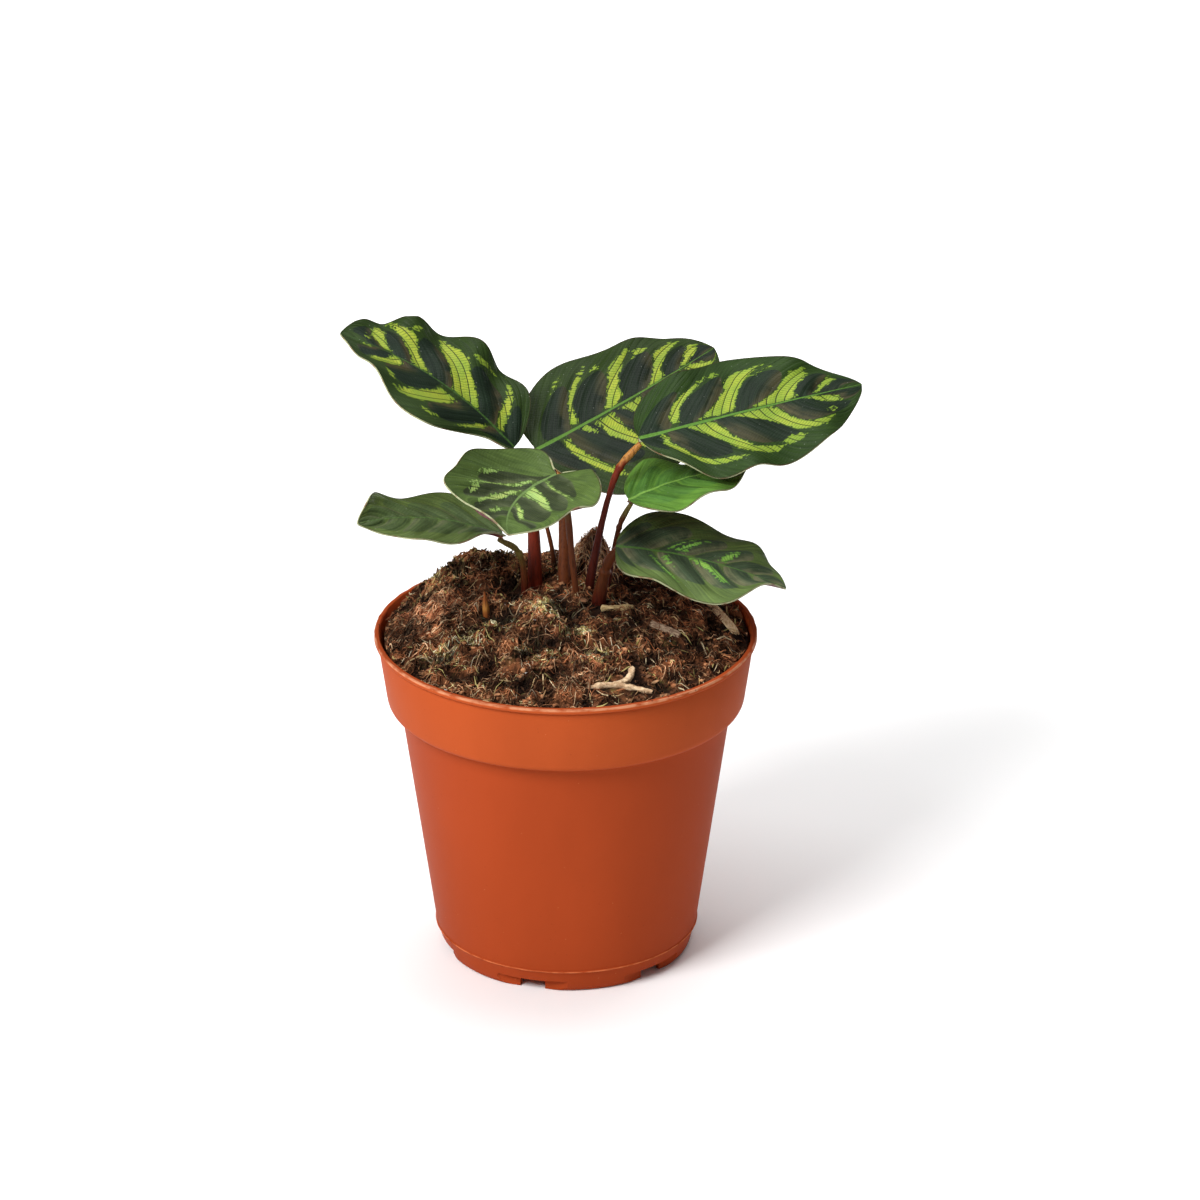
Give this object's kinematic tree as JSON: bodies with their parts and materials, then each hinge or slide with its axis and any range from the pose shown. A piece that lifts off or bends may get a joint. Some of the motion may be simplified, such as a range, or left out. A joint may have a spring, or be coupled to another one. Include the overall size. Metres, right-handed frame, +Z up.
{
  "type": "potted peacock plant",
  "caption": "Young peacock plant with waved, feather-marked leaves on thin red-brown stalks, standing in a mound of potting soil in a round plastic nursery pot.",
  "frame": {"origin": "on the pot's axis, at the surface that the pot stands on", "axes": "+Z up along the pot's axis, -Y towards the side that the front leaf hangs over, +X to the right seen from there"},
  "size_m": [0.1478, 0.1192, 0.1737],
  "materials": {
    "pot_plastic": "satin",
    "potting_soil": "matte",
    "striped_leaf": "satin",
    "dark_leaf": "satin",
    "plain_leaf": "satin",
    "red_stalk": "satin",
    "brown_stalk": "satin",
    "dry_stalk": "matte",
    "spear": "satin",
    "wood_litter": "matte",
    "rootstock": "matte"
  },
  "bodies": {
    "root": {"pot": "pot_plastic", "soil": "potting_soil", "rootstock": "rootstock", "leaf_upper_left": "striped_leaf", "leaf_back": "striped_leaf", "leaf_right": "striped_leaf", "leaf_front": "striped_leaf", "leaf_low_left": "dark_leaf", "leaf_small_right": "plain_leaf", "leaf_low_right": "dark_leaf", "petiole_upper_left": "red_stalk", "petiole_back": "brown_stalk", "petiole_right": "red_stalk", "petiole_front": "brown_stalk", "petiole_low_left": "brown_stalk", "petiole_small_right": "brown_stalk", "petiole_low_right": "brown_stalk", "dry_stalk": "dry_stalk", "spear_shoot": "spear", "wood_chip": "wood_litter", "bark_stick": "wood_litter", "short_twig": "wood_litter", "forked_twig": "wood_litter"}
  },
  "joints": []
}
